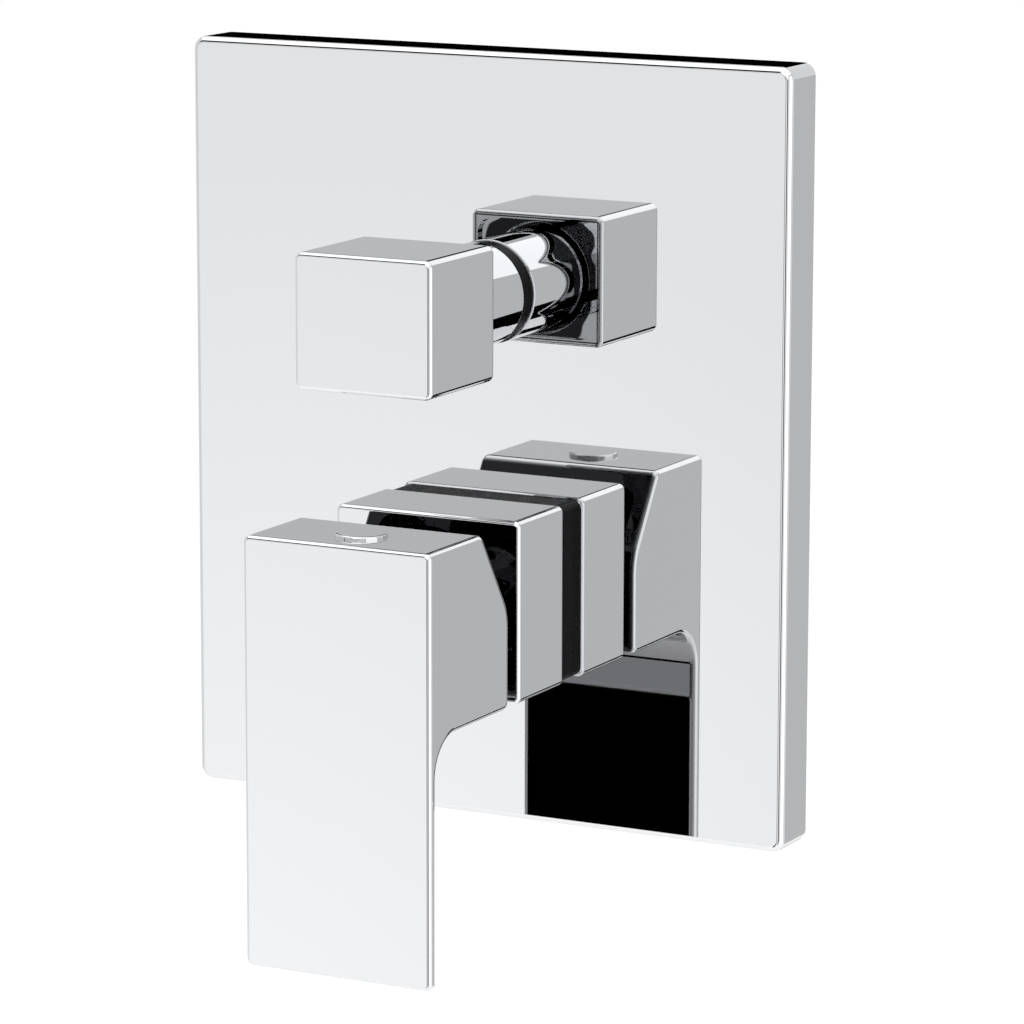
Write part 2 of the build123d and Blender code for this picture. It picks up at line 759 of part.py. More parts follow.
# Turning disc: one port, and a slot in front for the spindle's tongue
with BuildPart() as diverter_moving_disc:
    with BuildSketch(facing(diverter_moving_rear, diverter_z)):
        Circle(diverter_disc_diameter / 2)
        with Locations(diverter_ports[0]):
            Circle(diverter_port_radius, mode=Mode.SUBTRACT)
    extrude(amount=diverter_moving_thickness)
    with BuildSketch(facing(diverter_moving_front, diverter_z)):
        with Locations((0, -diverter_tongue_width / 2)):
            Rectangle(diverter_tongue_length + 2 * slide_gap, diverter_tongue_width + 2 * slide_gap)
    extrude(amount=-diverter_tongue_depth - slide_gap, mode=Mode.SUBTRACT)
finish(diverter_moving_disc, "diverter_moving_disc")

# Diverter spindle: foot with a tongue, shaft with two grooves, square end for the knob
shaft_radius = diverter_shaft_diameter / 2
ring_groove_radius = shaft_radius - diverter_ring_section
clip_rear = diverter_nose_front + running_gap
clip_front = clip_rear + circlip_thickness
with BuildPart() as diverter_spindle:
    revolve(
        outline(
            diverter_z,
            (diverter_foot_rear, 0),
            (diverter_foot_rear, diverter_foot_diameter / 2),
            (diverter_foot_front, diverter_foot_diameter / 2),
            (diverter_foot_front, shaft_radius),
            (diverter_ring_depth, shaft_radius),
            (diverter_ring_depth, ring_groove_radius),
            (diverter_ring_depth + diverter_ring_width, ring_groove_radius),
            (diverter_ring_depth + diverter_ring_width, shaft_radius),
            (clip_rear, shaft_radius),
            (clip_rear, shaft_radius - circlip_groove),
            (clip_front, shaft_radius - circlip_groove),
            (clip_front, shaft_radius),
            (knob_rear, shaft_radius),
            (knob_rear, 0),
        ),
        axis=diverter_axis,
    )
    with BuildSketch(facing(knob_rear, diverter_z)):
        Rectangle(diverter_square, diverter_square)
    extrude(amount=knob_socket_end - loose_gap - knob_rear)
    with BuildSketch(facing(diverter_foot_rear, diverter_z)):
        with Locations((0, -diverter_tongue_width / 2)):
            Rectangle(diverter_tongue_length, diverter_tongue_width)
    extrude(amount=-diverter_tongue_depth)
    # Open slot in the foot over the turning disc's port
    with BuildSketch(facing(diverter_foot_rear, diverter_z)):
        with Locations(diverter_ports[0]):
            Circle(diverter_port_radius)
        with Locations((0, diverter_port_offset + diverter_foot_diameter / 4)):
            Rectangle(2 * diverter_port_radius, diverter_foot_diameter / 2)
    extrude(amount=diverter_foot_thickness, mode=Mode.SUBTRACT)
finish(diverter_spindle, "diverter_spindle")

ring_middle = diverter_ring_depth + diverter_ring_width / 2
with BuildPart() as diverter_o_ring:
    with BuildSketch(section(diverter_z)):
        with Locations((ring_middle, shaft_radius - diverter_ring_section / 2)):
            RectangleRounded(
                diverter_ring_width - 2 * slide_gap,
                diverter_ring_section - running_gap,
                diverter_ring_section / 3,
            )
    revolve(axis=diverter_axis)
finish(diverter_o_ring, "diverter_o_ring")

# Clip in the shaft's groove, in front of the housing's nose
with BuildPart() as diverter_circlip:
    with BuildSketch(facing(clip_rear, diverter_z)):
        Circle(circlip_diameter / 2)
        Circle(shaft_radius - circlip_groove + running_gap, mode=Mode.SUBTRACT)
        with Locations((0, -circlip_diameter / 2)):
            Rectangle(circlip_opening, circlip_diameter, mode=Mode.SUBTRACT)
    extrude(amount=circlip_thickness)
finish(diverter_circlip, "diverter_circlip")

# Diverter housing: cup over the discs with windows for the water, and a threaded nose
housing_radius = diverter_bore / 2 - slide_gap
cup_radius = diverter_disc_diameter / 2 + slide_gap
cup_front = diverter_foot_front + running_gap
shaft_bore = shaft_radius + running_gap
window_length = diverter_foot_front - diverter_moving_rear
window_y = -(diverter_foot_front + diverter_moving_rear) / 2
with BuildPart() as diverter_housing:
    revolve(
        outline(
            diverter_z,
            (diverter_fixed_rear, cup_radius),
            (cup_front, cup_radius),
            (cup_front, shaft_bore),
            (diverter_nose_front, shaft_bore),
            (diverter_nose_front, nose_radius),
            (diverter_shoulder_depth, nose_radius),
            (diverter_shoulder_depth, housing_radius),
            (diverter_fixed_rear, housing_radius),
        ),
        axis=diverter_axis,
    )
    for across in ((0, 0, 1), (1, 0, 0)):
        with BuildSketch(Plane(origin=(0, window_y, diverter_z), x_dir=(0, 1, 0), z_dir=across)):
            Rectangle(window_length, diverter_window_width)
        extrude(amount=diverter_bore, both=True, mode=Mode.SUBTRACT)
finish(diverter_housing, "diverter_housing")

# Slotted nut that holds the diverter's housing down
diverter_nut_radius = diverter_nut_diameter / 2
with BuildPart() as diverter_nut:
    revolve(
        ring(
            diverter_z,
            diverter_shoulder_depth,
            diverter_barrel_front,
            nose_radius + slide_gap,
            diverter_nut_radius,
        ),
        axis=diverter_axis,
    )
    with BuildSketch(facing(diverter_barrel_front, diverter_z)):
        with PolarLocations(diverter_nut_radius, nut_slots):
            Rectangle(diverter_nut_radius / 2, nut_slot_width)
    extrude(amount=-nut_slot_depth, mode=Mode.SUBTRACT)
finish(diverter_nut, "diverter_nut")

# Rubber ring between the plate and the diverter's neck
with BuildPart() as neck_seal:
    revolve(
        ring(diverter_z, plate_depth, neck_seal_front, nose_radius + slide_gap, neck_seal_diameter / 2),
        axis=diverter_axis,
    )
    fillet(neck_seal.edges().group_by(Axis.Y)[0].sort_by(SortBy.RADIUS)[-1], radius=collar_neck_edge)
finish(neck_seal, "neck_seal")

# Polished neck, screwed on the housing's nose, with its front end inside the knob
neck_thread_radius = nose_radius + running_gap
collar_neck_radius = collar_neck_diameter / 2
with BuildPart() as diverter_neck:
    revolve(
        outline(
            diverter_z,
            (neck_seal_front, neck_thread_radius),
            (collar_neck_step, neck_thread_radius),
            (collar_neck_step, collar_neck_bore / 2),
            (collar_neck_front, collar_neck_bore / 2),
            (collar_neck_front, collar_neck_radius),
            (neck_seal_front, collar_neck_radius),
        ),
        axis=diverter_axis,
    )
    outer_edges = diverter_neck.edges().filter_by(GeomType.CIRCLE).sort_by(SortBy.RADIUS)[-2:]
    fillet(outer_edges, radius=collar_neck_edge)
finish(diverter_neck, "diverter_neck")

# Diverter knob: a block with a shallow pocket behind, a round recess for the neck, a square
# socket and a screw hole below
knob_socket_size = diverter_square + 2 * running_gap
knob_grub_seat = diverter_z - diverter_square / 2
knob_bottom = diverter_z - knob_height / 2
knob_recess_radius = knob_counterbore_diameter / 2
with BuildPart() as diverter_knob:
    with BuildSketch(facing(knob_rear, diverter_z)):
        RectangleRounded(knob_width, knob_height, knob_corner_radius)
    extrude(amount=knob_depth)
    ends = diverter_knob.faces().sort_by(Axis.Y)
    fillet(ends[0].edges() + ends[-1].edges(), radius=knob_edge_radius)
    with BuildSketch(facing(knob_rear, diverter_z)):
        RectangleRounded(
            knob_width - 2 * knob_rear_wall,
            knob_height - 2 * knob_rear_wall,
            knob_pocket_radius,
        )
    extrude(amount=knob_pocket_depth, mode=Mode.SUBTRACT)
    revolve(
        outline(
            diverter_z,
            (knob_pocket_floor, 0),
            (knob_pocket_floor, knob_recess_radius + knob_counterbore_rim),
            (knob_pocket_floor + knob_counterbore_rim, knob_recess_radius),
            (knob_socket_floor, knob_recess_radius),
            (knob_socket_floor, 0),
        ),
        axis=diverter_axis,
        mode=Mode.SUBTRACT,
    )
    with BuildSketch(facing(knob_socket_floor, diverter_z)):
        Rectangle(knob_socket_size, knob_socket_size)
    extrude(amount=knob_socket_depth, mode=Mode.SUBTRACT)
    with BuildSketch(Plane(origin=(0, -knob_grub_depth, knob_bottom), z_dir=(0, 0, 1))):
        Circle(grub_diameter / 2 + running_gap)
    extrude(amount=knob_grub_seat - knob_bottom, mode=Mode.SUBTRACT)
finish(diverter_knob, "diverter_knob")

# Screw that clamps the knob on the diverter's spindle
knob_screw = set_screw(knob_grub_depth, knob_grub_seat, -1)
finish(knob_screw, "knob_screw")
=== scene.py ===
# %% [markdown]
# # A concealed shower mixer
# Most of this mixer hides in the wall. What the user sees is a chromed plate, a square lever
# that sets flow and warmth, and a cube knob that sends the water one way or the other.
# The solids arrive with their true size and place, so the lesson gives each surface the finish
# of the real one, adds the pipe threads, and lights the chrome the way a studio does.

import json
import math

import bpy
from mathutils import Matrix, Vector


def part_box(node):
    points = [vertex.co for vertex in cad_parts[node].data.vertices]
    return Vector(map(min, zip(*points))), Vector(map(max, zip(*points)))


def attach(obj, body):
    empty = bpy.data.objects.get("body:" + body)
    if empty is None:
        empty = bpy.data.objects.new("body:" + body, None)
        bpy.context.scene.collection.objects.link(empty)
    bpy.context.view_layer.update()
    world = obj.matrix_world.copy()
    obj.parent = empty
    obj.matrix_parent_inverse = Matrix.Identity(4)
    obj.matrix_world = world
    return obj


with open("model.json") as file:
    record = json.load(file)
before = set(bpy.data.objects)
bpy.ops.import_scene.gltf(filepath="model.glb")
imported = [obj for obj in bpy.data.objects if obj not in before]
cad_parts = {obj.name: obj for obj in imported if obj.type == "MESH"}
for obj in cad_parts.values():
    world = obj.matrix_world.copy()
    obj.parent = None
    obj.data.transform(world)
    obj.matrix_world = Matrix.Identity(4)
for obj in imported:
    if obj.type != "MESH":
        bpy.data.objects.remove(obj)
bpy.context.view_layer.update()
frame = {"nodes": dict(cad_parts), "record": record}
solids = frame["nodes"]
scene = bpy.context.scene
scene.view_settings.view_transform = "Standard"
MM = 0.001

# %% [markdown]
# ## Shaders and wires
# Every finish starts as a Principled shader. A node tree could be built by hand in the shader
# editor, but all the finishes share the same few moves, so three helpers make a shader, add a node
# and run a wire. Numbers that are the same all over a surface go on the shader's own sockets.

# %% Shaders and wires
def start_finish(name, colour, metallic=0.0, roughness=0.5):
    """New material with its constant values on the Principled shader's own sockets."""
    finish = bpy.data.materials.new(name)
    finish.use_nodes = True
    shader = finish.node_tree.nodes["Principled BSDF"]
    shader.inputs["Base Color"].default_value = (*colour, 1.0)
    shader.inputs["Metallic"].default_value = metallic
    shader.inputs["Roughness"].default_value = roughness
    return finish, shader


def add_node(finish, kind, mode=None, **values):
    """Add a shader node. Input names are given with _ for a blank."""
    made = finish.node_tree.nodes.new("ShaderNode" + kind)
    if mode:
        made.operation = mode
    for name, value in values.items():
        made.inputs[name.replace("_", " ")].default_value = value
    return made


def join(finish, source, target):
    """Run a wire from an output socket to an input socket."""
    finish.node_tree.links.new(source, target)


print("helpers ready: start_finish, add_node, join")

# %% [markdown]
# ## Patterns
# Cast metal, rubber and plastic all vary a little over their surface. Pictures could show that,
# but they need an unwrapped mesh and blur close up, so noise is used. It reads Object coordinates:
# each solid sits at the origin with its place in its mesh, so a pattern stays fixed on the metal
# when the lever or the knob moves.

# %% Patterns
def places(finish):
    """Object coordinates, in metres."""
    return add_node(finish, "TexCoord").outputs["Object"]


def grain(finish, size, detail=2.0):
    """Noise whose blotches are about this many metres across."""
    noise = add_node(finish, "TexNoise", Scale=1.0 / size, Detail=detail)
    join(finish, places(finish), noise.inputs["Vector"])
    return noise.outputs["Fac"]


def spread(finish, source, low, high, start=0.3, end=0.7):
    """Stretch a texture's values between start and end over the range from low to high."""
    span = add_node(finish, "MapRange", From_Min=start, From_Max=end, To_Min=low, To_Max=high)
    join(finish, source, span.inputs["Value"])
    return span.outputs["Result"]


def tint(finish, source, first, second):
    """Blend two colours by a 0 to 1 texture."""
    blend = finish.node_tree.nodes.new("ShaderNodeMix")
    blend.data_type = "RGBA"
    join(finish, source, blend.inputs["Factor"])
    blend.inputs[6].default_value = (*first, 1.0)
    blend.inputs[7].default_value = (*second, 1.0)
    return blend.outputs[2]


def relief(finish, source, depth, strength=1.0, under=None):
    """Bump of a depth in metres, on top of another bump if one is given."""
    bump = add_node(finish, "Bump", Strength=strength, Distance=depth)
    join(finish, source, bump.inputs["Height"])
    if under:
        join(finish, under, bump.inputs["Normal"])
    return bump.outputs["Normal"]


print("helpers ready: places, grain, spread, tint, relief")

# %% [markdown]
# ## Masks
# One solid can have two finishes: a casting is rough outside and smooth where it was machined.
# Faces could be picked one by one and given a second material. A mask worked out from where a
# point lies needs no picking, and it takes its place from the solid's own box.

# %% Masks
def combine(finish, mode, first, second):
    """Math node on two number sockets; the second may be a plain number."""
    made = add_node(finish, "Math", mode)
    join(finish, first, made.inputs[0])
    if isinstance(second, float):
        made.inputs[1].default_value = second
    else:
        join(finish, second, made.inputs[1])
    return made.outputs[0]


def measure(finish, mode, vector, constant=(0.0, 0.0, 0.0)):
    """Vector Math node on a vector socket and a constant vector."""
    made = add_node(finish, "VectorMath", mode)
    join(finish, vector, made.inputs[0])
    made.inputs[1].default_value = constant
    gives_number = mode in ("DOT_PRODUCT", "LENGTH", "DISTANCE")
    return made.outputs["Value" if gives_number else "Vector"]


def inside_box(finish, low, high):
    """1 within the box between two corners, 0 outside it."""
    centre = [(a + b) / 2 for a, b in zip(low, high)]
    half = [(b - a) / 2 for a, b in zip(low, high)]
    away = measure(finish, "ABSOLUTE", measure(finish, "SUBTRACT", places(finish), centre))
    beyond = add_node(finish, "SeparateXYZ")
    join(finish, measure(finish, "SUBTRACT", away, half), beyond.inputs[0])
    furthest = combine(finish, "MAXIMUM", beyond.outputs["X"], beyond.outputs["Y"])
    furthest = combine(finish, "MAXIMUM", furthest, beyond.outputs["Z"])
    return combine(finish, "LESS_THAN", furthest, 0.0)


def rear_facing(finish, start=0.5, end=0.8):
    """1 on faces that look at the wall, 0 on all others."""
    normal = add_node(finish, "SeparateXYZ")
    join(finish, add_node(finish, "TexCoord").outputs["Normal"], normal.inputs[0])
    return spread(finish, normal.outputs["Y"], 0.0, 1.0, start, end)


print("helpers ready: combine, measure, inside_box, rear_facing")

# %% [markdown]
# ## Polished chrome
# The sleeve, lever and knob are brass or zinc, polished and plated with chrome. Chrome reflects
# a little over half of the light, and that is why a face seen by way of the plate looks a step
# darker than one seen directly. Faces that look at the wall get painted shade, a darker colour.
# One function makes the chrome, and a mask says where the painted shade goes, so that every
# chromed piece shares the same bright finish.

# %% Polished chrome
CHROME = (0.60, 0.605, 0.615)
# Painted shade: a darker chrome colour for faces that look at the wall.
PAINTED_REAR_SHADE = (0.30, 0.30, 0.31)
POLISH_GRAIN = 14 * MM
POLISH_ROUGHNESS = (0.010, 0.028)


def polished_chrome(name, shade_places, shade_colour):
    """Bright chrome with painted shade, a darker colour, where a mask says."""
    finish, shader = start_finish(name, CHROME, metallic=1.0)
    colour = tint(finish, shade_places(finish), CHROME, shade_colour)
    join(finish, colour, shader.inputs["Base Color"])
    haze = spread(finish, grain(finish, POLISH_GRAIN, detail=3.0), *POLISH_ROUGHNESS)
    join(finish, haze, shader.inputs["Roughness"])
    return finish


finishes = {"polished_chrome": polished_chrome("polished_chrome", rear_facing, PAINTED_REAR_SHADE)}
print("made", finishes["polished_chrome"].name)

# %% [markdown]
# ## The plate's chrome
# The plate is pressed from flat sheet: a mirror in front, dull inside the tray, where nobody
# polishes it. A second material on the rear faces would do the same. Here the mask of faces that
# look at the wall raises the roughness, so the border follows the rounded edges by itself.

# %% The plate's chrome
TRAY_GRAIN = 3 * MM
TRAY_ROUGHNESS = (0.42, 0.48)
SHEET_GRAIN = 20 * MM
SHEET_ROUGHNESS = (0.008, 0.020)


def pressed_chrome():
    """Mirror in front, dull behind."""
    finish, shader = start_finish("pressed_chrome", CHROME, metallic=1.0)
    streaks = spread(finish, grain(finish, TRAY_GRAIN, detail=4.0), *TRAY_ROUGHNESS)
    dull = combine(finish, "MULTIPLY", streaks, rear_facing(finish))
    shine = spread(finish, grain(finish, SHEET_GRAIN), *SHEET_ROUGHNESS)
    join(finish, combine(finish, "ADD", dull, shine), shader.inputs["Roughness"])
    return finish


own_chrome = {"face_plate": pressed_chrome()}
print("made", own_chrome["face_plate"].name)

# %% [markdown]
# ## Chrome of the sleeve and the lever
# The sleeve is bright outside and dark inside, and so is the back of the lever's block, which
# looks into the sleeve. Both dark places are deep in a gap, in shade. They could be left to shadow,
# but chrome hardly shows any, so a box round each place paints the shade into its colour.

# %% Chrome of the sleeve and the lever
# Painted shade: near-black colour inside the sleeve, behind the lever's block and in the knob's
# pocket.
PAINTED_GAP_SHADE = (0.025, 0.025, 0.027)
SLEEVE_RIM = 1.2 * MM
LEVER_REACH = Vector((MM, MM, MM))


def inside_sleeve(finish):
    """1 on the sleeve's inner walls."""
    low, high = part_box("sleeve")
    margin = Vector((SLEEVE_RIM, SLEEVE_RIM / 2, SLEEVE_RIM))
    return inside_box(finish, low + margin, high - margin)


def behind_lever(finish):
    """1 on the back of the lever's block, which looks into the sleeve."""
    low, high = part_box("lever")
    low.y = (low.y + high.y) / 2
    low.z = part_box("sleeve")[0].z
    block = inside_box(finish, low, high + LEVER_REACH)
    return combine(finish, "MULTIPLY", rear_facing(finish), block)


def lever_chrome():
    """Chrome with painted shade on the blade's back, and darker painted shade behind the block."""
    finish = polished_chrome("lever_chrome", rear_facing, PAINTED_REAR_SHADE)
    shader = finish.node_tree.nodes["Principled BSDF"]
    rear_shaded = shader.inputs["Base Color"].links[0].from_socket
    blend = tint(finish, behind_lever(finish), CHROME, PAINTED_GAP_SHADE).node
    join(finish, rear_shaded, blend.inputs[6])
    join(finish, blend.outputs[2], shader.inputs["Base Color"])
    return finish


own_chrome["sleeve"] = polished_chrome("sleeve_chrome", inside_sleeve, PAINTED_GAP_SHADE)
own_chrome["lever"] = lever_chrome()
print("made", own_chrome["sleeve"].name, "and", own_chrome["lever"].name)

# %% [markdown]
# ## The knob's chrome
# The knob is a cube with a shallow pocket behind, and a round hole in the pocket for the neck.
# The plate shows this side in its mirror: a dark pocket with light corners, a bright chamfer round
# the hole and a fine dark line along the rim. The pocket's dark and the rim's line are painted shade
# in the chrome's colour; the corners and the chamfer are left bright. The border of the light corners
# wanders, so the distance from the knob's axis gets some noise before it is turned into a mask.

# %% The knob's chrome
KNOB_EDGE = 1.0 * MM
KNOB_RIM_LINE = 1.3 * MM
KNOB_WALL = 1.75 * MM
REAR_SKIN = 0.05 * MM
POCKET_LIGHT_FROM = 16.6 * MM
POCKET_LIGHT_FULL = 17.0 * MM
POCKET_GRAIN = 6 * MM
POCKET_WANDER = 4.0 * MM
CHAMFER_RADIUS = 12.75 * MM
CHAMFER_HALF_WIDTH = 0.2 * MM
ACROSS_AXIS = (1.0, 0.0, 1.0)


def painted_rim_line(finish, low, high):
    """1 on a fine line along the knob's rear rim, where a dark line is painted."""
    rear = Vector((low.x, high.y, low.z))
    outer = Vector((KNOB_EDGE, -REAR_SKIN, KNOB_EDGE))
    inner = Vector((KNOB_RIM_LINE, -REAR_SKIN, KNOB_RIM_LINE))
    within_outer = inside_box(finish, rear + outer, high - outer)
    within_inner = inside_box(finish, rear + inner, high - inner)
    return combine(finish, "SUBTRACT", within_outer, within_inner)


def painted_pocket_shade(finish):
    """Where painted shade goes: 1 on the rim's line and in the pocket, 0 in its corners and on the
    round chamfer.
    """
    low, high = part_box("diverter_knob")
    wall = Vector((KNOB_WALL, REAR_SKIN, KNOB_WALL))
    pocket = inside_box(finish, low + wall, high - wall)
    from_axis = measure(finish, "SUBTRACT", places(finish), (low + high) / 2)
    distance = measure(finish, "LENGTH", measure(finish, "MULTIPLY", from_axis, ACROSS_AXIS))
    noise = grain(finish, POCKET_GRAIN, detail=0.0)
    wander = spread(finish, noise, -POCKET_WANDER, POCKET_WANDER, start=0.0, end=1.0)
    border = combine(finish, "ADD", distance, wander)
    dark = spread(finish, border, 1.0, 0.0, POCKET_LIGHT_FROM, POCKET_LIGHT_FULL)
    chamfer = combine(finish, "COMPARE", distance, CHAMFER_RADIUS)
    chamfer.node.inputs[2].default_value = CHAMFER_HALF_WIDTH
    pocket = combine(finish, "MULTIPLY", pocket, dark)
    pocket = combine(finish, "SUBTRACT", pocket, chamfer)
    return combine(finish, "MAXIMUM", pocket, painted_rim_line(finish, low, high))


# Painted shade in the knob's pocket and a painted dark line along its rim.
own_chrome["diverter_knob"] = polished_chrome("knob_chrome", painted_pocket_shade, PAINTED_GAP_SHADE)
print("made", own_chrome["diverter_knob"].name)

# %% [markdown]
# ## Cast brass
# The body in the wall is a sand casting: grainy, uneven in colour and only machined where
# something seals or screws on. The machined faces could be painted by hand. Instead they are found
# by where they lie, on the four mouths' end faces and inside the bores behind them, because the
# record gives each mouth's place, axis and radius.

# %% Cast brass
CAST_LIGHT = (0.66, 0.49, 0.25)
CAST_DARK = (0.47, 0.33, 0.15)
TURNED = (0.78, 0.60, 0.30)
BLOTCH_SIZE = 12 * MM
CAST_GRAIN = 2 * MM
CAST_ROUGHNESS = (0.42, 0.62)
MACHINED_ROUGHNESS = 0.28
LUMP_SIZE = 7 * MM
LUMP_DEPTH = 0.5 * MM
LUMP_STRENGTH = 0.5
SAND_SIZE = 0.6 * MM
SAND_DEPTH = 0.16 * MM
SAND_STRENGTH = 0.8
END_FACE_DEPTH = 0.15 * MM
BORE_MARGIN = 0.4 * MM
mouths = [row for row in frame["record"]["mounts"] if row["kind"] == "threaded_hole"]


def machined(finish, mouth):
    """1 on one mouth's end face and inside its bore."""
    axis = Vector(mouth["axis"])
    from_mouth = measure(finish, "SUBTRACT", places(finish), mouth["pos_m"])
    height = measure(finish, "DOT_PRODUCT", from_mouth, axis)
    across = measure(finish, "MULTIPLY", from_mouth, [1.0 - abs(part) for part in axis])
    on_face = combine(finish, "GREATER_THAN", height, -END_FACE_DEPTH)
    bore = mouth["dims"]["r_mm"] * MM + BORE_MARGIN
    in_bore = combine(finish, "LESS_THAN", measure(finish, "LENGTH", across), bore)
    return combine(finish, "MAXIMUM", on_face, in_bore)


def cast_brass():
    """Rough, blotchy casting with smooth, bright machined places."""
    finish, shader = start_finish("cast_brass", CAST_LIGHT, metallic=1.0)
    bright = machined(finish, mouths[0])
    for mouth in mouths[1:]:
        bright = combine(finish, "MAXIMUM", bright, machined(finish, mouth))
    raw = spread(finish, bright, 1.0, 0.0, start=0.0, end=1.0)
    blotches = spread(finish, grain(finish, BLOTCH_SIZE, detail=5.0), 0.0, 1.0)
    blend = tint(finish, bright, CAST_LIGHT, TURNED).node
    join(finish, tint(finish, blotches, CAST_DARK, CAST_LIGHT), blend.inputs[6])
    join(finish, blend.outputs[2], shader.inputs["Base Color"])
    rough = spread(finish, grain(finish, CAST_GRAIN, detail=3.0), *CAST_ROUGHNESS)
    rough = combine(finish, "MULTIPLY", rough, raw)
    smooth = combine(finish, "MULTIPLY", bright, MACHINED_ROUGHNESS)
    join(finish, combine(finish, "ADD", rough, smooth), shader.inputs["Roughness"])
    lumps = relief(finish, grain(finish, LUMP_SIZE), LUMP_DEPTH)
    join(finish, combine(finish, "MULTIPLY", raw, LUMP_STRENGTH), lumps.node.inputs["Strength"])
    sand = relief(finish, grain(finish, SAND_SIZE, detail=3.0), SAND_DEPTH, under=lumps)
    join(finish, combine(finish, "MULTIPLY", raw, SAND_STRENGTH), sand.node.inputs["Strength"])
    join(finish, sand, shader.inputs["Normal"])
    return finish


finishes["cast_brass"] = cast_brass()
print("made", finishes["cast_brass"].name, "with", len(mouths), "machined mouths")

# %% [markdown]
# ## Turned brass
# The nuts, spindles and the diverter's housing come off a lathe, which leaves fine rings and
# a brighter, cleaner metal. Real grooves would need a very fine mesh, so a wave texture along the
# turning axis drives the roughness and a slight bump.

# %% Turned brass
RING_SCALE = 900.0
RING_ROUGHNESS = (0.20, 0.32)
RING_DEPTH = 0.02 * MM
RING_STRENGTH = 0.4


def turned_brass():
    """Clean brass with the rings that a lathe leaves."""
    finish, shader = start_finish("turned_brass", TURNED, metallic=1.0)
    waves = add_node(finish, "TexWave", Scale=RING_SCALE, Distortion=0.4, Detail=1.0)
    waves.bands_direction = "Y"
    join(finish, places(finish), waves.inputs["Vector"])
    rings = waves.outputs["Fac"]
    shine = spread(finish, rings, *RING_ROUGHNESS, start=0.0, end=1.0)
    join(finish, shine, shader.inputs["Roughness"])
    join(finish, relief(finish, rings, RING_DEPTH, RING_STRENGTH), shader.inputs["Normal"])
    return finish


finishes["turned_brass"] = turned_brass()
print("made", finishes["turned_brass"].name)

# %% [markdown]
# ## Rubber and foam
# The gasket behind the sleeve and the ring under the diverter's neck are black moulded rubber,
# with the slight shine that a steel mould leaves, and so are the seals inside. The strip in the
# plate's rim is closed-cell foam. Its cells could be modelled as dents, but they are under
# a millimetre wide, so a Voronoi texture gives their shade and relief.

# %% Rubber and foam
RUBBER = (0.004, 0.004, 0.0045)
RUBBER_SHINE = 0.022
RUBBER_GRAIN = 1.5 * MM
RUBBER_ROUGHNESS = (0.24, 0.36)
RUBBER_SKIN = 0.35 * MM
RUBBER_SKIN_DEPTH = 0.05 * MM
FOAM_LIGHT = (0.20, 0.20, 0.21)
FOAM_DARK = (0.10, 0.10, 0.11)
FOAM_CELL = 0.9 * MM
FOAM_DEPTH = 0.3 * MM


def black_rubber():
    """Near-black rubber with a fine moulded skin."""
    finish, shader = start_finish("black_rubber", RUBBER)
    shader.inputs["Specular IOR Level"].default_value = RUBBER_SHINE
    sheen = spread(finish, grain(finish, RUBBER_GRAIN, detail=4.0), *RUBBER_ROUGHNESS)
    join(finish, sheen, shader.inputs["Roughness"])
    skin = relief(finish, grain(finish, RUBBER_SKIN, detail=3.0), RUBBER_SKIN_DEPTH, strength=0.5)
    join(finish, skin, shader.inputs["Normal"])
    return finish


def grey_foam():
    """Dull foam with small closed cells."""
    finish, shader = start_finish("grey_foam", FOAM_LIGHT, roughness=0.9)
    cells = add_node(finish, "TexVoronoi", Scale=1.0 / FOAM_CELL)
    join(finish, places(finish), cells.inputs["Vector"])
    distance = cells.outputs["Distance"]
    shades = spread(finish, distance, 0.0, 1.0, start=0.1, end=0.6)
    join(finish, tint(finish, shades, FOAM_LIGHT, FOAM_DARK), shader.inputs["Base Color"])
    join(finish, relief(finish, distance, FOAM_DEPTH, strength=0.7), shader.inputs["Normal"])
    return finish


finishes["black_rubber"] = black_rubber()
finishes["grey_foam"] = grey_foam()
print("made", finishes["black_rubber"].name, "and", finishes["grey_foam"].name)

# %% [markdown]
# ## Plastic and ceramic
# Inside the valves, moulded plastic carries discs of ground ceramic that slide on each other.
# Plastic has soft clouds of colour and the fine skin of its mould, ceramic has tiny specks under
# a polish. A plain colour would look like neither, so noise gives the clouds and the specks. One
# function makes both plastics, because they differ only in colour.

# %% Plastic and ceramic
GREY_PLASTIC = ((0.40, 0.42, 0.44), (0.36, 0.38, 0.40))
WHITE_PLASTIC = ((0.82, 0.82, 0.80), (0.77, 0.77, 0.75))
PLASTIC_CLOUD = 4 * MM
PLASTIC_GRAIN = 1.0 * MM
PLASTIC_ROUGHNESS = (0.38, 0.50)
PLASTIC_SKIN = 0.25 * MM
PLASTIC_SKIN_DEPTH = 0.02 * MM
CERAMIC_LIGHT = (0.86, 0.85, 0.82)
CERAMIC_DARK = (0.80, 0.79, 0.75)
CERAMIC_SPECK = 0.5 * MM
CERAMIC_GRAIN = 2 * MM
CERAMIC_ROUGHNESS = (0.12, 0.24)


def moulded_plastic(name, light, dark):
    """Plastic with soft clouds and a fine skin."""
    finish, shader = start_finish(name, light)
    clouds = spread(finish, grain(finish, PLASTIC_CLOUD), 0.0, 1.0)
    join(finish, tint(finish, clouds, dark, light), shader.inputs["Base Color"])
    sheen = spread(finish, grain(finish, PLASTIC_GRAIN), *PLASTIC_ROUGHNESS)
    join(finish, sheen, shader.inputs["Roughness"])
    skin = relief(finish, grain(finish, PLASTIC_SKIN), PLASTIC_SKIN_DEPTH, strength=0.5)
    join(finish, skin, shader.inputs["Normal"])
    return finish


